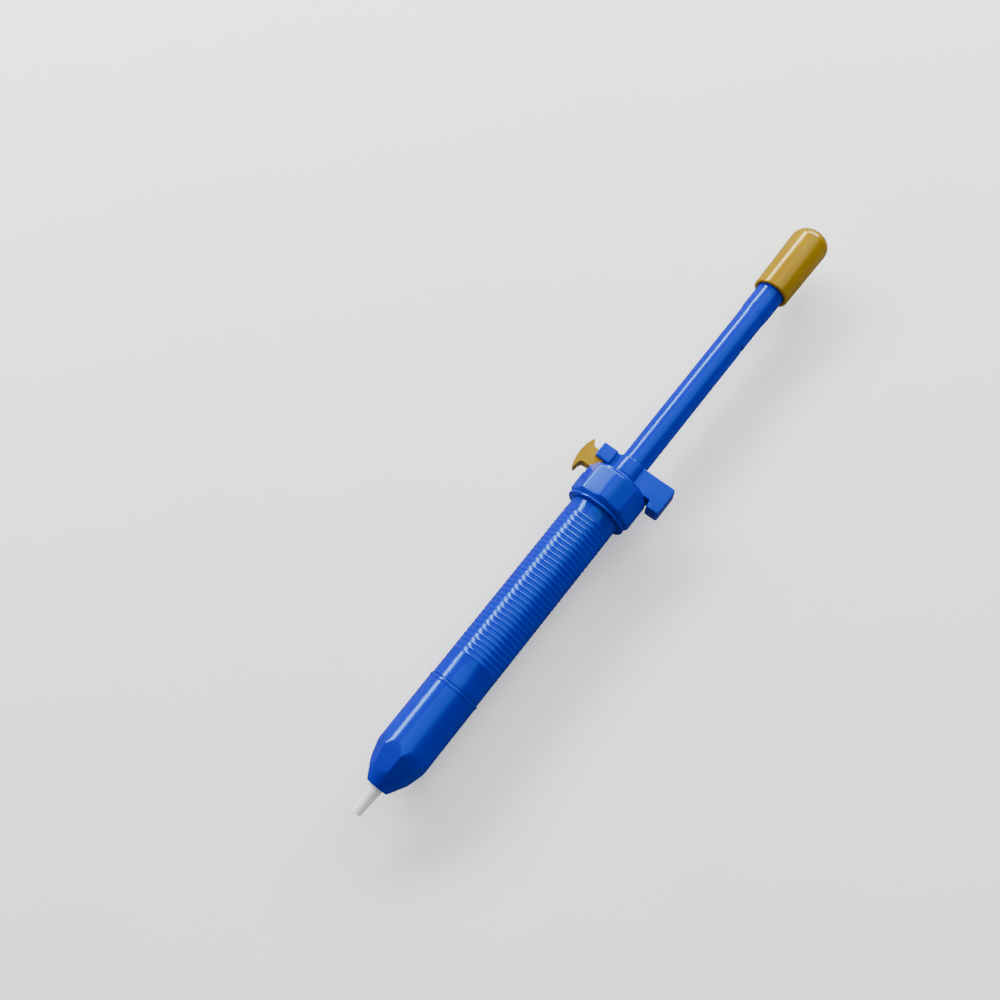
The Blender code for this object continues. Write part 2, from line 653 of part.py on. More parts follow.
nose_axis = axis_empty("nose_axis")
make_nozzle(nose_axis)
make_nozzle_seal(nose_axis)
make_nose_cone(nose_axis)

plunger_axis = axis_empty("plunger_axis")
make_plunger_tube(plunger_axis)
make_plunger_knob(plunger_axis)
make_tube_plug(plunger_axis)
make_piston(plunger_axis)

trigger_axis = axis_empty("trigger_axis")
make_trigger_button(trigger_axis)
make_latch_plate(trigger_axis)

bpy.context.view_layer.update()
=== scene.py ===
import math

import bmesh
import bpy
from mathutils import Matrix, Vector


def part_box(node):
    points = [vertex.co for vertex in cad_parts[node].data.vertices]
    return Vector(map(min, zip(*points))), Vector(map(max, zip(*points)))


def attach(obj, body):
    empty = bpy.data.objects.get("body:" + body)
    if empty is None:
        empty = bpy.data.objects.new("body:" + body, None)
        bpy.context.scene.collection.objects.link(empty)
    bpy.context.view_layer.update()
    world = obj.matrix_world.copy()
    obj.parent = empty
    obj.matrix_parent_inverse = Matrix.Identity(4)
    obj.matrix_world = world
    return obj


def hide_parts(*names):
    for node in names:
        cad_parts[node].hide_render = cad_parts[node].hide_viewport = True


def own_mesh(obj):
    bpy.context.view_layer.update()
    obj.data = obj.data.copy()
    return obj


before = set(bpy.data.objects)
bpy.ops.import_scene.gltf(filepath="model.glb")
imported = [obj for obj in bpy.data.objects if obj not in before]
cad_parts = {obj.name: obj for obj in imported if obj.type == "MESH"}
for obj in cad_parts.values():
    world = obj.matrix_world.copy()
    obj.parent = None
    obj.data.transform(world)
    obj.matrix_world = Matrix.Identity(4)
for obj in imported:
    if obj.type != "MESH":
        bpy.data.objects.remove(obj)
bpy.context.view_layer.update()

# A glossy blue desoldering pump with an amber knob and trigger, lying on a pale table.
# Lengths are in millimetres, and stations are distances along the pump from its nozzle's tip.
# at() and MM turn them into metres in the part's frame.

MM = 0.001
TIP_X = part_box("nozzle")[0].x
AXIS_Z = (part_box("barrel")[0].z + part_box("barrel")[1].z) / 2
ROUND_STEPS = 160
BARREL_STEPS = 144
TUBE_STEPS = 128
FACET_STEPS = 360
RIM_STEPS = 4
SHARP_ANGLE = math.radians(35.0)
CORNER_POWER = 90.0


def station_of(x):
    """Station in millimetres of a place on the frame's X axis."""
    return (x - TIP_X) / MM


def node_span(node):
    """First and last station of a CAD node."""
    low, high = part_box(node)
    return station_of(low.x), station_of(high.x)


def node_radius(node):
    """How far a CAD node reaches above the pump's axis."""
    return (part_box(node)[1].z - AXIS_Z) / MM


# Stations, radii and reach of the CAD nodes
NOZZLE_REAR = node_span("nozzle")[1]
NOSE_FRONT, NOSE_REAR = node_span("nose_cone")
BARREL_FRONT, BARREL_REAR = node_span("barrel")
RING_FRONT, RING_REAR = node_span("lock_ring")
COLLAR_FRONT, COLLAR_REAR = node_span("rear_collar")
FLANGE_REAR = node_span("finger_flange")[1]
TUBE_FRONT, TUBE_REAR = node_span("plunger_tube")
KNOB_FRONT, KNOB_REAR = node_span("plunger_knob")
NOSE_RIM_R = node_radius("nose_cone")
BARREL_R = node_radius("barrel")
RING_R = node_radius("lock_ring")
COLLAR_R = node_radius("rear_collar")
TUBE_END_R = node_radius("plunger_tube")
KNOB_R = node_radius("plunger_knob")
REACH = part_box("trigger_button")[1].y / MM

# Sizes that more than one piece shares
NOSE_R = NOSE_RIM_R - 0.2
BARREL_SHOULDER = NOSE_REAR + 0.3
GRIP_HEIGHT = 0.17
LAND_R = BARREL_R - GRIP_HEIGHT / 2
# The collar's corners over its upper half, in degrees from -Y over the top to +Y
COLLAR_CORNERS = (10.0, 48.0, 80.0, 90.0, 129.0, 174.0)
TUBE_R = 6.9
HOLE_R = TUBE_R + 0.35
SLOT_HALF_Z = 3.5


def at(station, y=0.0, z=0.0):
    """A place in the frame, from a station and offsets from the pump's axis."""
    return Vector((TIP_X + station * MM, y * MM, AXIS_Z + z * MM))


# ---------------------------------------------------------------- outlines

def spaced(first, last, steps):
    """Evenly spaced numbers, with both ends."""
    return [first + (last - first) * i / steps for i in range(steps + 1)]


def sloped(first, last, steps):
    """Evenly spaced points on a straight line, with both ends."""
    return list(zip(spaced(first[0], last[0], steps), spaced(first[1], last[1], steps)))


def arc(centre, radius, start, end, count):
    """Points on an arc, from one angle in degrees to another."""
    angles = [math.radians(a) for a in spaced(start, end, count)]
    return [(centre[0] + radius * math.cos(a), centre[1] + radius * math.sin(a)) for a in angles]


def soften(corners, steps=4):
    """Rounds the corners of a profile, given as (station, radius, setback).

    The small curve at a corner starts and ends the setback away from it.
    """
    points = []
    last = len(corners) - 1
    for i, (x, r, setback) in enumerate(corners):
        if setback == 0 or i in (0, last):
            points.append((x, r))
            continue
        corner = Vector((x, r))
        start = corner + (Vector(corners[i - 1][:2]) - corner).normalized() * setback
        end = corner + (Vector(corners[i + 1][:2]) - corner).normalized() * setback
        for t in spaced(0.0, 1.0, steps):
            spot = start * (1 - t) ** 2 + corner * (2 * t * (1 - t)) + end * t ** 2
            points.append((spot.x, spot.y))
    return points


def faceted(sides, angle):
    """Radius at an angle of a form with flat sides and slightly soft corners.

    sides holds (direction a side faces in degrees, its distance from the axis).
    """
    total = 0.0
    for facing, distance in sides:
        share = math.cos(angle - math.radians(facing)) / distance
        if share > 0:
            total += share ** CORNER_POWER
    return total ** (-1 / CORNER_POWER)


def sides_between(corners, radius):
    """Flat sides whose corners lie on a circle, at rising angles in degrees."""
    loop = list(corners) + [corners[0] + 360.0]
    return [((a + b) / 2, radius * math.cos(math.radians((b - a) / 2))) for a, b in zip(loop, loop[1:])]


def soft_min(a, b):
    """The smaller of two radii, with a slight rounding where they cross."""
    return (a ** -CORNER_POWER + b ** -CORNER_POWER) ** (-1 / CORNER_POWER)


# ---------------------------------------------------------------- meshes

def smooth_but_sharp(mesh):
    """Smooth shading, broken at sharp edges."""
    mesh.shade_smooth()
    mesh.set_sharp_from_angle(angle=SHARP_ANGLE)


def mesh_object(name, bm):
    """A new object from a bmesh, with its normals facing out."""
    bmesh.ops.recalc_face_normals(bm, faces=bm.faces)
    mesh = bpy.data.meshes.new(name)
    bm.to_mesh(mesh)
    bm.free()
    smooth_but_sharp(mesh)
    obj = bpy.data.objects.new(name, mesh)
    bpy.context.scene.collection.objects.link(obj)
    return obj


def turn(name, outer, bore=(), shape=None, segments=ROUND_STEPS):
    """A profile turned about the pump's axis. outer and bore run from the nozzle end to the knob end.

    shape(station, radius, angle) bends the outer rings out of round. Angle 0 is +Z and 90 degrees is +Y.
    """
    bm = bmesh.new()
    rows = [(x, r, shape) for x, r in outer] + [(x, r, None) for x, r in reversed(bore)]
    rings = []
    for x, r, bend in rows:
        if r < 1e-6:
            rings.append([bm.verts.new(at(x))])
            continue
        ring = []
        for i in range(segments):
            angle = 2 * math.pi * i / segments
            radius = bend(x, r, angle) if bend else r
            ring.append(bm.verts.new(at(x, radius * math.sin(angle), radius * math.cos(angle))))
        rings.append(ring)
    pairs = list(zip(rings, rings[1:]))
    if len(rings[0]) > 1 and len(rings[-1]) > 1:
        pairs.append((rings[-1], rings[0]))
    for first, second in pairs:
        for i in range(segments):
            j = (i + 1) % segments
            loop = [first[i % len(first)], first[j % len(first)],
                    second[j % len(second)], second[i % len(second)]]
            bm.faces.new([v for k, v in enumerate(loop) if v not in loop[:k]])
    return mesh_object(name, bm)


def slab(name, outline, low, high, rim=0.0, along="Z"):
    """A flat outline thickened. A rim rounds the edges of its two faces.

    along "Z": outline (station, y), from height low to high above the axis.
    along "X": outline (y, z), from station low to high.
    """
    bm = bmesh.new()
    if along == "Z":
        verts = [bm.verts.new(at(x, y, low)) for x, y in outline]
        push = Vector((0, 0, (high - low) * MM))
    else:
        verts = [bm.verts.new(at(low, y, z)) for y, z in outline]
        push = Vector(((high - low) * MM, 0, 0))
    floor = bm.faces.new(verts)
    made = bmesh.ops.extrude_face_region(bm, geom=[floor])
    moved = [g for g in made["geom"] if isinstance(g, bmesh.types.BMVert)]
    bmesh.ops.translate(bm, vec=push, verts=moved)
    bmesh.ops.recalc_face_normals(bm, faces=bm.faces)
    if rim:
        caps = [f for f in bm.faces if len(f.verts) == len(outline)]
        edges = list({e for f in caps for e in f.edges})
        bmesh.ops.bevel(bm, geom=edges, offset=rim * MM, segments=RIM_STEPS, profile=0.5,
                        affect="EDGES", clamp_overlap=True)
    return mesh_object(name, bm)


def block(name, low, high, rim=0.0):
    """A block between two corners (station, y, z). A rim rounds all its edges."""
    bm = bmesh.new()
    bmesh.ops.create_cube(bm, size=1.0)
    size = [(b - a) * MM for a, b in zip(low, high)]
    bmesh.ops.scale(bm, vec=size, verts=bm.verts)
    bmesh.ops.translate(bm, vec=at(*[(a + b) / 2 for a, b in zip(low, high)]), verts=bm.verts)
    if rim:
        bmesh.ops.bevel(bm, geom=list(bm.edges), offset=rim * MM, segments=RIM_STEPS, profile=0.5,
                        affect="EDGES")
    return mesh_object(name, bm)


def carve(obj, adds=(), cuts=()):
    """Joins the adds to an object and cuts the cuts from it."""
    for tool, operation in [(t, "UNION") for t in adds] + [(t, "DIFFERENCE") for t in cuts]:
        mod = obj.modifiers.new(tool.name, "BOOLEAN")
        mod.operation = operation
        mod.solver = "EXACT"
        mod.object = tool
        bpy.context.view_layer.update()
        result = obj.evaluated_get(bpy.context.evaluated_depsgraph_get())
        mesh = bpy.data.meshes.new_from_object(result)
        obj.modifiers.clear()
        obj.data = mesh
        smooth_but_sharp(mesh)
        bpy.data.objects.remove(tool, do_unlink=True)


def coil(name, centre, offsets, wire_r):
    """A round wire through places given as offsets from a centre, as a mesh with closed ends."""
    curve = bpy.data.curves.new(name + "_wire", "CURVE")
    curve.dimensions = "3D"
    curve.bevel_depth = wire_r * MM
    curve.bevel_resolution = 3
    curve.use_fill_caps = True
    spline = curve.splines.new("POLY")
    spline.points.add(len(offsets) - 1)
    for point, offset in zip(spline.points, offsets):
        point.co = (*(centre + offset), 1.0)
    wire = bpy.data.objects.new(name + "_wire", curve)
    bpy.context.scene.collection.objects.link(wire)
    bpy.context.view_layer.update()
    mesh = bpy.data.meshes.new_from_object(wire.evaluated_get(bpy.context.evaluated_depsgraph_get()))
    bpy.data.objects.remove(wire, do_unlink=True)
    bm = bmesh.new()
    bm.from_mesh(mesh)
    bmesh.ops.remove_doubles(bm, verts=bm.verts, dist=1e-6)
    return mesh_object(name, bm)


# ---------------------------------------------------------------- materials

# Sockets of a Mix node that blends colours
MIX_FIRST = 6
MIX_SECOND = 7
MIX_RESULT = 2


def screen(red, green, blue):
    """A linear colour from one as it looks on screen, 0 to 255."""
    parts = [c / 255 for c in (red, green, blue)]
    return [c / 12.92 if c <= 0.04045 else ((c + 0.055) / 1.055) ** 2.4 for c in parts]


class Nodes:
    """A material's node tree, with short ways to add its nodes."""

    def __init__(self, name):
        self.mat = bpy.data.materials.new(name)
        self.mat.use_nodes = True
        self.tree = self.mat.node_tree
        self.shader = self.tree.nodes["Principled BSDF"]
        self.place = self.add("ShaderNodeTexCoord").outputs["Object"]

    def add(self, kind, **settings):
        node = self.tree.nodes.new(kind)
        for key, value in settings.items():
            setattr(node, key, value)
        return node

    def link(self, source, target):
        self.tree.links.new(source, target)

    def feed(self, socket, source):
        """Links a source to one of the shader's sockets."""
        self.link(source, self.shader.inputs[socket])

    def stretched(self, scale):
        """Places scaled apart in X, Y and Z, for a pattern that runs along one way."""
        mapping = self.add("ShaderNodeMapping")
        mapping.inputs["Scale"].default_value = scale
        self.link(self.place, mapping.inputs["Vector"])
        return mapping.outputs["Vector"]

    def noise(self, scale, detail=3.0, roughness=0.55, vector=None):
        node = self.add("ShaderNodeTexNoise")
        node.inputs["Scale"].default_value = scale
        node.inputs["Detail"].default_value = detail
        node.inputs["Roughness"].default_value = roughness
        self.link(vector or self.place, node.inputs["Vector"])
        return node.outputs["Fac"]

    def spread(self, value, low, high, from_low=0.3, from_high=0.7):
        """A pattern's range from_low to from_high, mapped to low to high."""
        node = self.add("ShaderNodeMapRange")
        node.inputs["From Min"].default_value = from_low
        node.inputs["From Max"].default_value = from_high
        node.inputs["To Min"].default_value = low
        node.inputs["To Max"].default_value = high
        self.link(value, node.inputs["Value"])
        return node.outputs["Result"]

    def product(self, first, second):
        node = self.add("ShaderNodeMath", operation="MULTIPLY")
        self.link(first, node.inputs[0])
        self.link(second, node.inputs[1])
        return node.outputs[0]

    def blend(self, share, first, second):
        """A colour between two, each a linear colour or a socket."""
        node = self.add("ShaderNodeMix", data_type="RGBA")
        self.link(share, node.inputs["Factor"])
        for value, socket in ((first, node.inputs[MIX_FIRST]), (second, node.inputs[MIX_SECOND])):
            if isinstance(value, bpy.types.NodeSocket):
                self.link(value, socket)
            else:
                socket.default_value = (*value, 1.0)
        return node.outputs[MIX_RESULT]

    def bump(self, height, distance, strength=1.0, under=None):
        """A normal raised by a pattern, on top of another normal if one is given."""
        node = self.add("ShaderNodeBump")
        node.inputs["Strength"].default_value = strength
        node.inputs["Distance"].default_value = distance
        self.link(height, node.inputs["Height"])
        if under:
            self.link(under, node.inputs["Normal"])
        return node.outputs["Normal"]

    def edges(self):
        """High on convex edges, where a painted highlight lightens a moulding."""
        return self.spread(self.add("ShaderNodeNewGeometry").outputs["Pointiness"], 0.0, 1.0, 0.52, 0.62)

    def set(self, **values):
        for key, value in values.items():
            self.shader.inputs[key.replace("_", " ")].default_value = value


def gloss_plastic(name, shade, deep, edge_glint, sheen):
    """Injection-moulded gloss plastic: slight flow mottling, a painted highlight on convex edges, fine
    orange peel, hairline handling marks.
    """
    n = Nodes(name)
    mottle = n.spread(n.noise(45.0, detail=4.0), 0.0, 1.0)
    flow = n.spread(n.noise(1.0, vector=n.stretched((25.0, 160.0, 160.0))), 0.0, 0.5)
    colour = n.blend(flow, n.blend(mottle, shade, deep), deep)
    # Painted highlight: convex edges, broken up by noise, are lightened towards a brighter colour.
    glint_share = n.product(n.edges(), n.spread(n.noise(420.0, detail=5.0), 0.0, 0.45))
    n.feed("Base Color", n.blend(glint_share, colour, edge_glint))
    scuffs = n.noise(1.0, detail=6.0, roughness=0.7, vector=n.stretched((260.0, 1900.0, 1900.0)))
    n.feed("Roughness", n.spread(scuffs, 0.12, 0.22))
    peel = n.bump(n.noise(650.0, detail=2.0), distance=0.00003, strength=0.35)
    hairlines = n.noise(1.0, roughness=0.6, vector=n.stretched((500.0, 5200.0, 5200.0)))
    n.feed("Normal", n.bump(hairlines, distance=0.000012, strength=0.5, under=peel))
    n.set(IOR=1.5, Specular_IOR_Level=0.75, Specular_Tint=(*sheen, 1.0))
    return n.mat


def ptfe():
    """Waxy turned PTFE: faint clouds, fine tool rings and soft scatter."""
    n = Nodes("white_ptfe")
    clouds = n.spread(n.noise(220.0, detail=4.0), 0.0, 1.0)
    n.feed("Base Color", n.blend(clouds, screen(250, 252, 250), screen(240, 243, 240)))
    n.feed("Roughness", n.spread(n.noise(700.0, detail=4.0), 0.34, 0.5))
    rings = n.add("ShaderNodeTexWave", bands_direction="X")
    rings.inputs["Scale"].default_value = 900.0
    rings.inputs["Distortion"].default_value = 0.6
    n.link(n.place, rings.inputs["Vector"])
    grain = n.bump(n.noise(900.0), distance=0.00002, strength=0.4)
    n.feed("Normal", n.bump(rings.outputs["Fac"], distance=0.00001, strength=0.5, under=grain))
    n.set(Subsurface_Weight=0.25, Subsurface_Scale=0.003, IOR=1.38)
    return n.mat


def acetal():
    """Natural acetal: off-white satin with faint flow clouds."""
    n = Nodes("white_acetal")
    clouds = n.spread(n.noise(120.0, detail=4.0), 0.0, 1.0)
    n.feed("Base Color", n.blend(clouds, screen(226, 225, 216), screen(208, 206, 196)))
    n.feed("Roughness", n.spread(n.noise(500.0), 0.36, 0.5))
    n.feed("Normal", n.bump(n.noise(1200.0), distance=0.00002, strength=0.4))
    return n.mat


def rubber():
    """Black rubber with a dusty bloom and a fine grain."""
    n = Nodes("black_rubber")
    bloom = n.spread(n.noise(300.0, detail=5.0), 0.0, 1.0)
    n.feed("Base Color", n.blend(bloom, screen(26, 26, 28), screen(52, 52, 54)))
    n.feed("Roughness", n.spread(n.noise(800.0, detail=4.0), 0.55, 0.8))
    n.feed("Normal", n.bump(n.noise(2600.0), distance=0.00003, strength=0.7))
    return n.mat


def steel(name, light, dark, grain):
    """Drawn or stamped steel: grain stretched by a scale in X, Y and Z, with slight tarnish."""
    n = Nodes(name)
    n.feed("Base Color", n.blend(n.spread(n.noise(160.0, detail=5.0), 0.0, 1.0), light, dark))
    lines = n.noise(1.0, detail=4.0, roughness=0.7, vector=n.stretched(grain))
    n.feed("Roughness", n.spread(lines, 0.2, 0.4))
    n.feed("Normal", n.bump(lines, distance=0.00001, strength=0.5))
    n.set(Metallic=1.0)
    return n.mat


# The third colour of each plastic is a painted highlight for its convex edges.
BLUE = gloss_plastic("blue_plastic", shade=(0.005, 0.015, 0.45), deep=(0.004, 0.012, 0.385),
                     edge_glint=(0.03, 0.12, 0.68), sheen=(0.12, 0.45, 1.0))
AMBER = gloss_plastic("amber_plastic", shade=(0.325, 0.193, 0.003), deep=(0.275, 0.163, 0.003),
                      edge_glint=(0.55, 0.38, 0.05), sheen=(1.0, 0.8, 0.33))
PTFE = ptfe()
ACETAL = acetal()
RUBBER = rubber()
SPRING = steel("spring_steel", screen(196, 198, 202), screen(150, 152, 158), (900.0, 900.0, 900.0))
PLATE = steel("plate_steel", screen(205, 206, 210), screen(165, 166, 172), (300.0, 2600.0, 2600.0))


def finish_piece(obj, body, mat, node):
    """Gives a finished piece its body and material, and hides the CAD node it stands for."""
    obj.data.materials.clear()
    obj.data.materials.append(mat)
    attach(obj, body)
    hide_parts(node)


# ---------------------------------------------------------------- nose

def make_nozzle():
    """Tapered tip, a straight shank and the flange that the nose cone holds."""
    tip_r, neck_r, shank_r, flange_r, hole_r = 2.5, 3.4, 3.5, 6.2, 1.5
    neck, shank_front, flange_front = 13.6, 14.4, 24.3
    outer = soften([(0.0, hole_r + 0.45, 0), (0.0, tip_r, 0.3), (4.0, tip_r + 0.18, 0), (neck, neck_r, 0.3),
                    (shank_front, shank_r, 0), (flange_front, shank_r, 0), (flange_front, flange_r, 0.3),
                    (NOZZLE_REAR, flange_r, 0.3), (NOZZLE_REAR, hole_r + 0.2, 0)])
    bore = soften([(0.0, hole_r + 0.35, 0), (0.3, hole_r, 0.15), (NOZZLE_REAR - 0.4, hole_r, 0.2),
                   (NOZZLE_REAR, hole_r + 0.15, 0)])
    finish_piece(turn("nozzle_tip", outer, bore), "nose", PTFE, "nozzle")


def make_nose_cone():
    """Round front cone, then eight flats that run out on the cylinder in scallops."""
    face_r, cone_end, cone_r = 5.5, 21.0, 9.6
    round_end, flats_end = 30.2, 33.9
    flat_count, flat_facing, flat_start, flat_slope = 8, 12.5, 9.3, 0.28
    cylinder_front, rim_front = 40.0, 66.5
    nozzle_hole_r, seat_r, chamber_r, skirt_r = 3.95, 6.6, 10.3, 11.5
    seat, chamber, skirt = 24.0, 30.2, 57.7

    def envelope(x):
        if x < cone_end:
            return face_r + (cone_r - face_r) * (x - NOSE_FRONT) / (cone_end - NOSE_FRONT)
        share = min((x - cone_end) / (round_end - cone_end), 1.0)
        return cone_r + (NOSE_R - cone_r) * math.sin(share * math.pi / 2)

    def flats(x, r, angle):
        if x < NOSE_FRONT + 0.6 or x > flats_end + 4.0:
            return r
        distance = flat_start + flat_slope * (x - cone_end)
        sides = [(flat_facing + 360.0 / flat_count * i, distance) for i in range(flat_count)]
        return soft_min(r, faceted(sides, angle))

    outer = soften([(NOSE_FRONT, nozzle_hole_r + 0.45, 0), (NOSE_FRONT, face_r - 0.1, 0.35),
                    (NOSE_FRONT + 1.2, envelope(NOSE_FRONT + 1.2), 0)])
    outer += [(x, envelope(x)) for x in spaced(NOSE_FRONT + 1.4, flats_end + 2.0, 60)]
    outer += soften([(cylinder_front, NOSE_R, 0), (rim_front, NOSE_R, 0.25),
                     (rim_front + 0.4, NOSE_RIM_R, 0.25), (NOSE_REAR, NOSE_RIM_R, 0.4),
                     (NOSE_REAR, skirt_r + 0.1, 0)])
    bore = [(NOSE_FRONT, nozzle_hole_r), (seat, nozzle_hole_r), (seat, seat_r), (chamber, seat_r),
            (chamber, chamber_r), (skirt, chamber_r), (skirt, skirt_r), (NOSE_REAR, skirt_r)]
    nose = turn("nose_shell", outer, bore, flats, FACET_STEPS)
    finish_piece(nose, "nose", BLUE, "nose_cone")


# ---------------------------------------------------------------- body

def grip_ring(centre):
    """Profile of one raised grip ring: a narrow rounded bead."""
    shape = ((-0.42, 0.0), (-0.34, 0.03), (-0.1, 0.15), (-0.03, GRIP_HEIGHT))
    return ([(centre + x, LAND_R + rise) for x, rise in shape]
            + [(centre - x, LAND_R + rise) for x, rise in reversed(shape)])


def make_barrel():
    """Tube with a spigot and seal groove at the nose, grip rings, and a spigot for the collar."""
    first_grip, last_grip, grips = 83.2, 166.4, 33
    spigot_r, groove_r, bore_r, rear_spigot_r = 11.2, 10.1, 9.6, 12.0
    groove_front, groove_rear, land = 61.9, 64.3, 72.0
    bead_rear = RING_FRONT - 0.3
    outer = soften([(BARREL_FRONT, bore_r + 0.4, 0), (BARREL_FRONT, spigot_r, 0.3),
                    (groove_front, spigot_r, 0), (groove_front, groove_r, 0), (groove_rear, groove_r, 0),
                    (groove_rear, spigot_r, 0), (BARREL_SHOULDER, spigot_r, 0),
                    (BARREL_SHOULDER, LAND_R, 0.3), (land, LAND_R, 0)])
    for centre in spaced(first_grip, last_grip, grips - 1):
        outer += grip_ring(centre)
    outer += soften([(RING_FRONT - 2.0, LAND_R, 0), (RING_FRONT - 1.6, LAND_R, 0.15),
                     (RING_FRONT - 1.3, BARREL_R, 0.1), (bead_rear, BARREL_R, 0.15),
                     (bead_rear, rear_spigot_r, 0), (BARREL_REAR, rear_spigot_r, 0.4),
                     (BARREL_REAR, bore_r + 0.6, 0)])
    bore = [(BARREL_FRONT, bore_r), (BARREL_REAR, bore_r)]
    shell = turn("barrel_shell", outer, bore, segments=BARREL_STEPS)
    finish_piece(shell, "body", BLUE, "barrel")


def make_lock_ring():
    """Thin band between the barrel's grip and the collar."""
    bore_r = 12.3
    outer = soften([(RING_FRONT, bore_r + 0.1, 0), (RING_FRONT, RING_R, 0.45), (RING_REAR, RING_R, 0.35),
                    (RING_REAR, bore_r + 0.1, 0)])
    bore = [(RING_FRONT, bore_r), (RING_REAR, bore_r)]
    finish_piece(turn("lock_ring_band", outer, bore), "body", BLUE, "lock_ring")


def make_collar():
    """Many-sided collar: flats met by a round front chamfer, socket, plate pocket and trigger channel."""
    above = [corner - 90.0 for corner in COLLAR_CORNERS]
    corners = above + [180.0 - corner for corner in reversed(above)]
    sides = sides_between(corners, COLLAR_R)
    face_r, flats_r, chamfer_r, chamfer_length, clear_r = 13.0, 14.0, 14.4, 2.6, COLLAR_R + 0.3
    socket_r, socket_rear = 12.3, 184.2
    pocket_front, pocket_r, pocket_shift = 186.4, 9.9, 3.3
    past = 2.0

    def flats(x, r, angle):
        return soft_min(r, faceted(sides, angle)) if r > flats_r else r

    outer = [(COLLAR_FRONT, face_r), (COLLAR_FRONT, flats_r - 0.05), (COLLAR_FRONT + 0.1, flats_r + 0.25)]
    outer += sloped((COLLAR_FRONT, chamfer_r), (COLLAR_FRONT + chamfer_length, clear_r), 16)[1:]
    outer += [(COLLAR_FRONT + 4.0, clear_r + 0.6), (COLLAR_REAR - 1.4, clear_r + 0.6)]
    outer += sloped((COLLAR_REAR - 0.8, clear_r), (COLLAR_REAR - 0.1, clear_r - 0.7), 8)
    outer += [(COLLAR_REAR, COLLAR_R - 0.6), (COLLAR_REAR, face_r)]
    bore = soften([(COLLAR_FRONT, socket_r + 0.2, 0), (COLLAR_FRONT + 0.2, socket_r, 0.1),
                   (socket_rear, socket_r, 0), (socket_rear, HOLE_R, 0), (COLLAR_REAR, HOLE_R, 0)])
    collar = turn("collar_cap", outer, bore, flats, FACET_STEPS)
    stadium = arc((pocket_shift, 0), pocket_r, -90, 90, 40) + arc((-pocket_shift, 0), pocket_r, 90, 270, 40)
    pocket = slab("pocket_tool", stadium, pocket_front, COLLAR_REAR + past, along="X")
    channel = block("channel_tool", (pocket_front, 5.0, -SLOT_HALF_Z),
                    (COLLAR_REAR + past, COLLAR_R + past, SLOT_HALF_Z))
    carve(collar, cuts=(pocket, channel))
    finish_piece(collar, "body", BLUE, "rear_collar")


def wing_outline():
    """The long wing with its end hooked forward over the collar, as (station, y)."""
    root_front, root_y = 193.0, -5.5
    hook_front, hook_y, fillet, nose, corner = 189.5, -17.5, 1.0, 0.5, 1.4
    return ([(root_front, root_y)]
            + arc((root_front - fillet, hook_y + fillet), fillet, 0, -90, 8)
            + arc((hook_front + nose, hook_y - nose), nose, 90, 180, 4)
            + arc((hook_front + corner, -REACH + corner), corner, 180, 270, 8)
            + arc((FLANGE_REAR - corner, -REACH + corner), corner, 270, 360, 8)
            + [(FLANGE_REAR, root_y)])


def make_flange():
    """Cover disc and grooved boss, with the long wing, the trigger's guide block and its slot."""
    disc_front, disc_rear, disc_r = 191.6, 193.2, 14.8
    boss_r, groove_front, groove_rear, groove_depth = 8.2, 194.9, 196.3, 0.35
    wing_half_z, wing_rim = 5.4, 1.1
    stub_front, stub_low, stub_high, stub_rim = 196.4, 8.8, 17.0, 0.8
    web_front, web_low, web_high, web_half_z = 192.7, 5.5, 9.3, 3.4
    tool_front, tool_rear, mouth, mouth_r = 190.0, FLANGE_REAR + 1.0, FLANGE_REAR - 0.4, HOLE_R + 0.33
    slot_low, slot_high, slot_rear = 8.6, 19.0, 200.7
    groove_r = boss_r - groove_depth
    outer = soften([(disc_front, boss_r, 0), (disc_front, disc_r, 0.4), (disc_rear, disc_r, 0.5),
                    (disc_rear, boss_r, 0.5), (groove_front, boss_r, 0.2),
                    (groove_front + 0.2, groove_r, 0.12), (groove_rear - 0.2, groove_r, 0.12),
                    (groove_rear, boss_r, 0.2), (FLANGE_REAR, boss_r, 0.6),
                    (FLANGE_REAR, HOLE_R + 0.35, 0)])
    hole = soften([(disc_front, HOLE_R, 0), (mouth, HOLE_R, 0.2), (FLANGE_REAR, HOLE_R + 0.3, 0)])
    flange = turn("flange_grip", outer, hole)
    wing = slab("wing_part", wing_outline(), -wing_half_z, wing_half_z, wing_rim)
    stub = block("stub_part", (stub_front, stub_low, -wing_half_z), (FLANGE_REAR, stub_high, wing_half_z),
                 stub_rim)
    web = block("web_part", (web_front, web_low, -web_half_z), (FLANGE_REAR - 0.3, web_high, web_half_z))
    bore = turn("bore_part", [(tool_front, 0.0), (tool_front, HOLE_R), (mouth, HOLE_R),
                              (FLANGE_REAR, mouth_r), (tool_rear, mouth_r), (tool_rear, 0.0)])
    slot = block("slot_part", (tool_front, slot_low, -SLOT_HALF_Z), (slot_rear, slot_high, SLOT_HALF_Z))
    carve(flange, adds=(wing, stub, web), cuts=(bore, slot))
    finish_piece(flange, "body", BLUE, "finger_flange")


def make_main_spring():
    """Compression spring with closed end turns."""
    low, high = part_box("main_spring")
    wire_r, mean_r, active_turns, per_turn = 0.6, 7.6, 16, 36
    front, rear = station_of(low.x) + wire_r, station_of(high.x) - wire_r
    closed_pitch = 2 * wire_r + 0.15
    pitch = (rear - front - 2 * closed_pitch) / active_turns
    offsets = []
    for i in range((active_turns + 2) * per_turn + 1):
        turns = i / per_turn
        open_turns = min(max(turns - 1.0, 0.0), active_turns)
        station = front + closed_pitch * (turns - open_turns) + pitch * open_turns
        angle = 2 * math.pi * turns
        offsets.append(Vector((station, mean_r * math.cos(angle), mean_r * math.sin(angle))) * MM)
    spring = coil("main_spring_coil", at(0.0), offsets, wire_r)
    finish_piece(spring, "body", SPRING, "main_spring")
    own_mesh(spring)


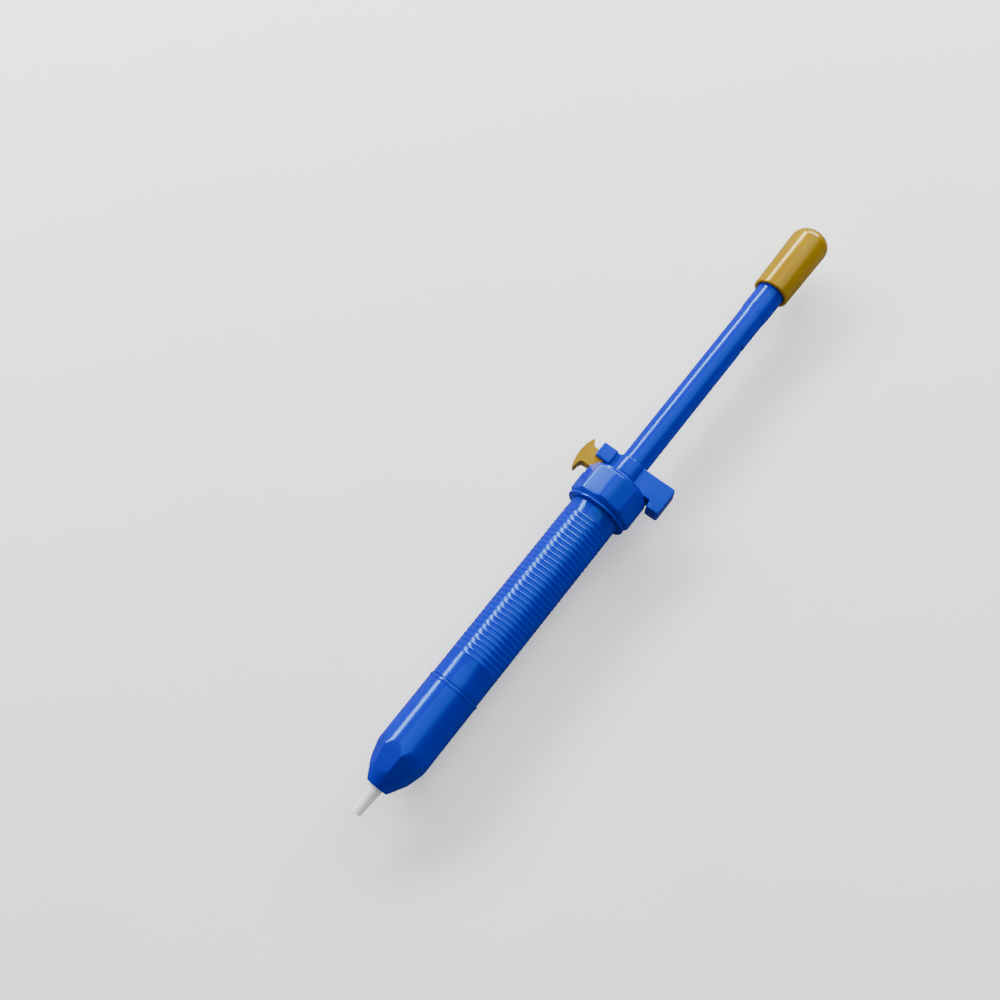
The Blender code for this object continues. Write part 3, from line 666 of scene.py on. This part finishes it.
def make_trigger_spring():
    """Small spring between the flange and the button."""
    low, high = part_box("trigger_spring")
    wire_r, mean_r, turns, per_turn = 0.2, 1.2, 6, 28
    centre = Vector(((low.x + high.x) / 2, 0.0, AXIS_Z))
    heights = spaced(low.y + wire_r * MM, high.y - wire_r * MM, turns * per_turn)
    offsets = []
    for i, height in enumerate(heights):
        angle = 2 * math.pi * i / per_turn
        offsets.append(Vector((mean_r * MM * math.cos(angle), height, mean_r * MM * math.sin(angle))))
    spring = coil("trigger_spring_coil", centre, offsets, wire_r)
    finish_piece(spring, "body", SPRING, "trigger_spring")
    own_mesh(spring)


# ---------------------------------------------------------------- plunger

def make_tube():
    """Plunger tube, with a small flare before the knob and the latch's notch on its -Y side."""
    flare_front, flare_rear, bore_r = 304.0, 309.0, 4.6
    notch_front, notch_length, notch_depth, notch_half_z = 285.0, 2.5, 1.2, 8.0
    outer = soften([(TUBE_FRONT, bore_r + 0.6, 0), (TUBE_FRONT, TUBE_R, 0.4), (flare_front, TUBE_R, 1.4),
                    (flare_rear, TUBE_END_R, 1.6), (TUBE_REAR, TUBE_END_R, 0.4),
                    (TUBE_REAR, bore_r + 0.6, 0)], 6)
    bore = [(TUBE_FRONT, bore_r), (TUBE_REAR, bore_r)]
    tube = turn("plunger_shaft", outer, bore, segments=TUBE_STEPS)
    notch = block("notch_tool", (notch_front, -9.0, -notch_half_z),
                  (notch_front + notch_length, notch_depth - TUBE_R, notch_half_z))
    carve(tube, cuts=(notch,))
    finish_piece(tube, "plunger", BLUE, "plunger_tube")


def make_knob():
    """Thumb knob that widens a little from its rounded mouth to its domed end."""
    mouth_r, lip, dome_r = 9.48, 0.9, 7.1
    socket_r, socket_rear = TUBE_END_R + 0.3, TUBE_REAR + 0.3
    dome = [(x, y) for y, x in arc((KNOB_R - dome_r, KNOB_REAR - dome_r), dome_r, 0, 90, 20)]
    grip = soften([(KNOB_FRONT, socket_r + 0.5, 0), (KNOB_FRONT, mouth_r, lip),
                   (KNOB_REAR - dome_r, KNOB_R, 0)], 8)[:-1]
    bore = soften([(KNOB_FRONT, socket_r + 0.35, 0), (KNOB_FRONT + 0.4, socket_r, 0.2),
                   (socket_rear, socket_r, 0), (socket_rear, 0.0, 0)])
    knob = turn("thumb_knob", list(reversed(bore)) + grip + dome + [(KNOB_REAR, 0.0)])
    finish_piece(knob, "plunger", AMBER, "plunger_knob")


# ---------------------------------------------------------------- trigger

def trigger_outline():
    """Curved thumb pad on a stem with a forked foot, as (station, y)."""
    pad_front, pad_rear, pad_end_y = 185.4, 203.5, 22.5
    stem_front, stem_rear, stem_foot = 190.5, 200.3, 11.9
    foot_front, foot_rear, foot_top, foot_end = 187.0, 191.0, 16.0, 10.4
    slot_front, slot_rear, slot_top = 188.1, 190.2, 13.0
    middle, half, rise = (pad_front + pad_rear) / 2, (pad_rear - pad_front) / 2, REACH - pad_end_y
    crown_r = (half * half + rise * rise) / (2 * rise)
    sweep = math.degrees(math.asin(half / crown_r))
    crown = arc((middle, REACH - crown_r), crown_r, 90 - sweep, 90 + sweep, 24)
    front_lobe = [(pad_front + 0.15, 22.05), (pad_front + 0.6, 21.75), (pad_front + 1.6, 21.55),
                  (pad_front + 3.2, 21.35), (stem_front - 1.0, 21.0), (stem_front - 0.4, 20.6)]
    rear_lobe = [(stem_rear + 0.25, 20.3), (stem_rear + 0.9, 20.85), (stem_rear + 1.7, 21.25),
                 (pad_rear - 0.7, 21.6), (pad_rear - 0.2, 22.0)]
    fork = [(foot_front, foot_top), (foot_front, foot_end), (slot_front, foot_end), (slot_front, slot_top),
            (slot_rear, slot_top), (slot_rear, foot_end), (foot_rear, foot_end), (foot_rear, stem_foot)]
    return (crown + front_lobe + [(stem_front, 19.6), (stem_front, foot_top)] + fork
            + [(stem_rear, stem_foot), (stem_rear, 19.4)] + rear_lobe)


def make_trigger():
    """Trigger button, with a well in its stem for its spring."""
    half_z, rim, well_r, well_depth, well_y = 3.2, 0.35, 1.8, 8.0, 14.0
    button = slab("trigger_thumb_pad", trigger_outline(), -half_z, half_z, rim)
    spring_low, spring_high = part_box("trigger_spring")
    well_place = Vector(((spring_low.x + spring_high.x) / 2, well_y * MM, AXIS_Z))
    upright = Matrix.Rotation(math.pi / 2, 4, "X")
    bm = bmesh.new()
    bmesh.ops.create_cone(bm, segments=32, radius1=well_r * MM, radius2=well_r * MM,
                          depth=well_depth * MM, cap_ends=True,
                          matrix=Matrix.Translation(well_place) @ upright)
    carve(button, cuts=(mesh_object("well_tool", bm),))
    finish_piece(button, "trigger", AMBER, "trigger_button")


# ---------------------------------------------------------------- pieces kept from CAD

KEPT_NODES = ((ACETAL, ("guide_bush", "piston_head", "tube_plug")),
              (RUBBER, ("nozzle_seal", "nose_o_ring", "bumper_ring", "shaft_wiper", "piston_o_ring")),
              (PLATE, ("spring_seat", "piston_washer", "cleaning_rod", "latch_plate")))


def dress_kept_nodes():
    """Gives the nodes that stay as CAD solids their looks."""
    for mat, nodes in KEPT_NODES:
        for node in nodes:
            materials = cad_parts[node].data.materials
            materials.clear()
            materials.append(mat)


# ---------------------------------------------------------------- stage, light and camera

BACKDROP = (1.0, 1.0, 1.0, 1.0)
NEAR_GLOW = 0.4
FAR_GLOW = 1.6
GLOW_RISE = (0.8, 2.4)
MIRRORED_TABLE = (0.08, 0.085, 0.1, 1.0)
MIRRORED_ROOM = (0.05, 0.055, 0.065, 1.0)
TABLE_HALF = 6.0


def make_table():
    """A pale table that runs out into the backdrop.

    It glows a little, to the camera alone, and more with distance in metres. Gloss mirrors a dim table,
    so that the plastic keeps its dark edges.
    """
    n = Nodes("pale_table")
    clouds = n.spread(n.noise(6.0, detail=4.0), 0.0, 1.0)
    n.feed("Base Color", n.blend(clouds, screen(242, 242, 241), screen(236, 237, 237)))
    n.feed("Normal", n.bump(n.noise(900.0), distance=0.00004, strength=0.3))
    distance = n.add("ShaderNodeVectorMath", operation="LENGTH")
    n.link(n.place, distance.inputs[0])
    path = n.add("ShaderNodeLightPath")
    glow = n.spread(distance.outputs["Value"], NEAR_GLOW, FAR_GLOW, *GLOW_RISE)
    n.feed("Emission Strength", n.product(glow, path.outputs["Is Camera Ray"]))
    n.set(Roughness=0.6, Emission_Color=BACKDROP)
    dim = n.add("ShaderNodeBsdfDiffuse")
    dim.inputs["Color"].default_value = MIRRORED_TABLE
    mix = n.add("ShaderNodeMixShader")
    n.link(path.outputs["Is Glossy Ray"], mix.inputs[0])
    n.link(n.shader.outputs[0], mix.inputs[1])
    n.link(dim.outputs[0], mix.inputs[2])
    n.link(mix.outputs[0], n.tree.nodes["Material Output"].inputs["Surface"])
    bm = bmesh.new()
    bmesh.ops.create_grid(bm, x_segments=8, y_segments=8, size=TABLE_HALF)
    table = mesh_object("table_top", bm)
    table.data.materials.append(n.mat)


def make_backdrop():
    """A pale backdrop to the camera, and a dim room to everything else."""
    world = bpy.data.worlds.new("studio")
    world.use_nodes = True
    nodes, links = world.node_tree.nodes, world.node_tree.links
    seen = nodes["Background"]
    seen.inputs["Color"].default_value = BACKDROP
    seen.inputs["Strength"].default_value = FAR_GLOW
    dim = nodes.new("ShaderNodeBackground")
    dim.inputs["Color"].default_value = MIRRORED_ROOM
    path = nodes.new("ShaderNodeLightPath")
    mix = nodes.new("ShaderNodeMixShader")
    links.new(path.outputs["Is Camera Ray"], mix.inputs[0])
    links.new(dim.outputs[0], mix.inputs[1])
    links.new(seen.outputs[0], mix.inputs[2])
    links.new(mix.outputs[0], nodes["World Output"].inputs["Surface"])
    bpy.context.scene.world = world


def make_softbox(name, centre, width, height, watts):
    """A rectangular light aimed at the pump. Its place and size are in metres."""
    light = bpy.data.lights.new(name, "AREA")
    light.shape = "RECTANGLE"
    light.size = width
    light.size_y = height
    light.energy = watts
    lamp = bpy.data.objects.new(name, light)
    lamp.location = centre
    lamp.rotation_euler = (-Vector(centre)).to_track_quat("-Z", "Y").to_euler()
    bpy.context.scene.collection.objects.link(lamp)


def make_lights():
    """A long low softbox on the trigger's side, a broad dim one overhead and one beyond the knob."""
    make_softbox("key_softbox", (0.42, 1.2, 0.72), 1.7, 0.36, 48.0)
    make_softbox("top_softbox", (0.4, -0.2, 1.5), 1.6, 2.2, 18.0)
    make_softbox("end_softbox", (1.5, 0.25, 0.75), 1.2, 0.5, 34.0)


def make_camera():
    """The photographed viewpoint, above and a little nozzle-wards of the pump."""
    camera_x, camera_y, height_over_axis, focal_length, film_width = -0.1556, -0.0863, 0.4921, 39.49, 36.0
    right = Vector((0.620, -0.784, -0.043)).normalized()
    back = -Vector((0.240, 0.241, -0.940)).normalized()
    up = back.cross(right).normalized()
    right = up.cross(back)
    data = bpy.data.cameras.new("view_camera")
    data.sensor_width = film_width
    data.lens = focal_length
    camera = bpy.data.objects.new("view_camera", data)
    turned = Matrix((right, up, back)).transposed().to_4x4()
    camera.matrix_world = Matrix.Translation((camera_x, camera_y, AXIS_Z + height_over_axis)) @ turned
    bpy.context.scene.collection.objects.link(camera)
    bpy.context.scene.camera = camera


make_camera()
make_table()
make_backdrop()
make_lights()
make_nozzle()
make_nose_cone()
make_barrel()
make_lock_ring()
make_collar()
make_flange()
make_main_spring()
make_trigger_spring()
make_tube()
make_knob()
make_trigger()
dress_kept_nodes()
